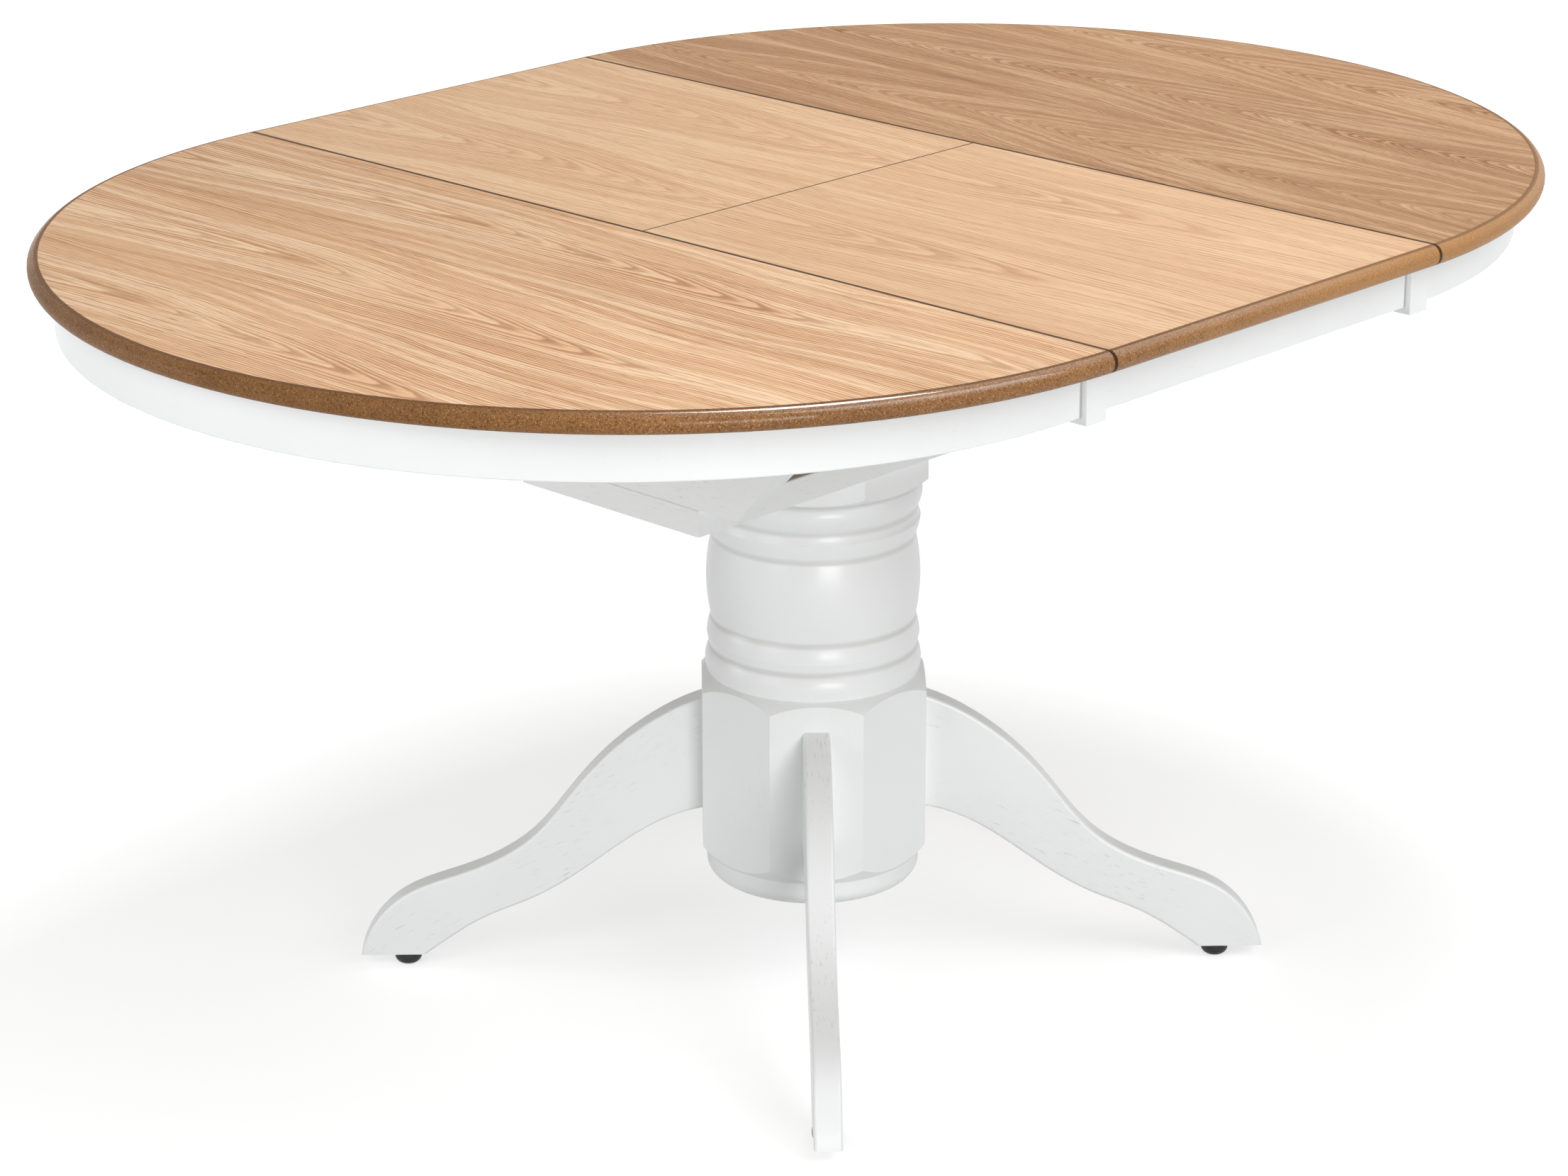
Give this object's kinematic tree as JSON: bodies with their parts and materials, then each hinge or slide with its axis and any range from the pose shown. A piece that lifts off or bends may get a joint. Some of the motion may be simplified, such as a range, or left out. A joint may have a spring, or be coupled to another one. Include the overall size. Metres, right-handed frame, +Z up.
{
  "type": "extending pedestal dining table",
  "caption": "Round-to-oval extending table: half-round tops on geared slides, folding centre leaf, aprons, turned column and splayed board legs.",
  "frame": {"origin": "on the floor at the column's axis, the middle of the footprint", "axes": "+Z up; X along the table's long axis, the way the half tops slide; -Y is the side of the leaf board that carries the pivots"},
  "size_m": [1.4848, 1.06, 0.76],
  "materials": {
    "oak_veneer": "satin lacquered oak veneer",
    "board": "satin stained fibreboard edge",
    "white_paint": "satin white painted wood",
    "beech": "plain sealed hardwood",
    "steel": "zinc plated",
    "brass": "plain brass",
    "nylon": "natural nylon",
    "black_plastic": "black glide"
  },
  "bodies": {
    "stand": {"centre_rail_far": "beech", "centre_rail_near": "beech", "column_bolts": "steel", "column_top_block": "beech", "foot_glides": "black_plastic", "frame_end_left": "white_paint", "frame_end_right": "white_paint", "frame_side_far": "white_paint", "frame_side_near": "white_paint", "glide_nails": "steel", "leaf_pivot_pins": "steel", "leg_back": "white_paint", "leg_front": "white_paint", "leg_hanger_bolts": "steel", "leg_left": "white_paint", "leg_right": "white_paint", "pedestal_base_disc": "white_paint", "pedestal_column": "white_paint", "pinion_pins": "steel", "yoke_left": "white_paint", "yoke_right": "white_paint"},
    "half_left": {"half_top_left": "board", "veneer_left": "oak_veneer", "apron_left": "white_paint", "apron_end_block_left": "white_paint", "left_rail_near": "beech", "left_rail_far": "beech", "left_rack_near": "nylon", "left_rack_far": "nylon", "rail_screws_left": "steel", "catch_plate_left": "steel"},
    "half_right": {"half_top_right": "board", "veneer_right": "oak_veneer", "apron_right": "white_paint", "apron_end_block_right": "white_paint", "right_rail_near": "beech", "right_rail_far": "beech", "right_rack_near": "nylon", "right_rack_far": "nylon", "rail_screws_right": "steel", "catch_plate_right": "steel"},
    "leaf_near": {"leaf_panel_near": "board", "leaf_veneer_near": "oak_veneer", "leaf_apron_near": "white_paint", "leaf_end_block_near": "white_paint", "hinge_barrels_near": "brass", "catch_keeper_near": "steel", "leaf_pivot_brackets": "steel"},
    "pinion_near": {"pinion_near": "nylon"},
    "leaf_far": {"leaf_panel_far": "board", "leaf_veneer_far": "oak_veneer", "leaf_apron_far": "white_paint", "leaf_end_block_far": "white_paint", "hinge_barrels_far": "brass", "catch_keeper_far": "steel"},
    "pinion_far": {"pinion_far": "nylon"},
    "lever_left": {"catch_lever_left": "steel"},
    "lever_right": {"catch_lever_right": "steel"}
  },
  "joints": [
    {"name": "left_half_slide", "type": "slide", "parent": "stand", "child": "half_left", "axis": [-1, 0, 0], "range_m": [0, 0.055]},
    {"name": "right_half_slide", "type": "slide", "parent": "stand", "child": "half_right", "axis": [1, 0, 0], "range_m": [0, 0.055]},
    {"name": "near_pinion_turn", "type": "hinge", "parent": "stand", "child": "pinion_near", "pos_m": [0, -0.3, 0.7085], "axis": [0, 0, 1], "range_deg": [-263, 0]},
    {"name": "far_pinion_turn", "type": "hinge", "parent": "stand", "child": "pinion_far", "pos_m": [0, 0.3, 0.7085], "axis": [0, 0, 1], "range_deg": [-263, 0]},
    {"name": "leaf_raise", "type": "hinge", "parent": "stand", "child": "leaf_near", "pos_m": [0, -0.132, 0.718], "axis": [-1, 0, 0], "range_deg": [0, 90]},
    {"name": "leaf_fold", "type": "hinge", "parent": "leaf_near", "child": "leaf_far", "pos_m": [0, 0, 0.76], "axis": [1, 0, 0], "range_deg": [0, 180]},
    {"name": "left_catch_turn", "type": "hinge", "parent": "half_left", "child": "lever_left", "pos_m": [-0.2404, -0.4, 0.736], "axis": [0, 0, -1], "range_deg": [0, 90]},
    {"name": "right_catch_turn", "type": "hinge", "parent": "half_right", "child": "lever_right", "pos_m": [0.2404, 0.4, 0.736], "axis": [0, 0, -1], "range_deg": [0, 90]}
  ],
  "couplings": [
    {"joint": "right_half_slide", "follows": "left_half_slide", "ratio": 1},
    {"joint": "near_pinion_turn", "follows": "left_half_slide", "rad_per_m": -83.333},
    {"joint": "far_pinion_turn", "follows": "left_half_slide", "rad_per_m": -83.333},
    {"joint": "leaf_fold", "follows": "leaf_raise", "ratio": 2}
  ]
}
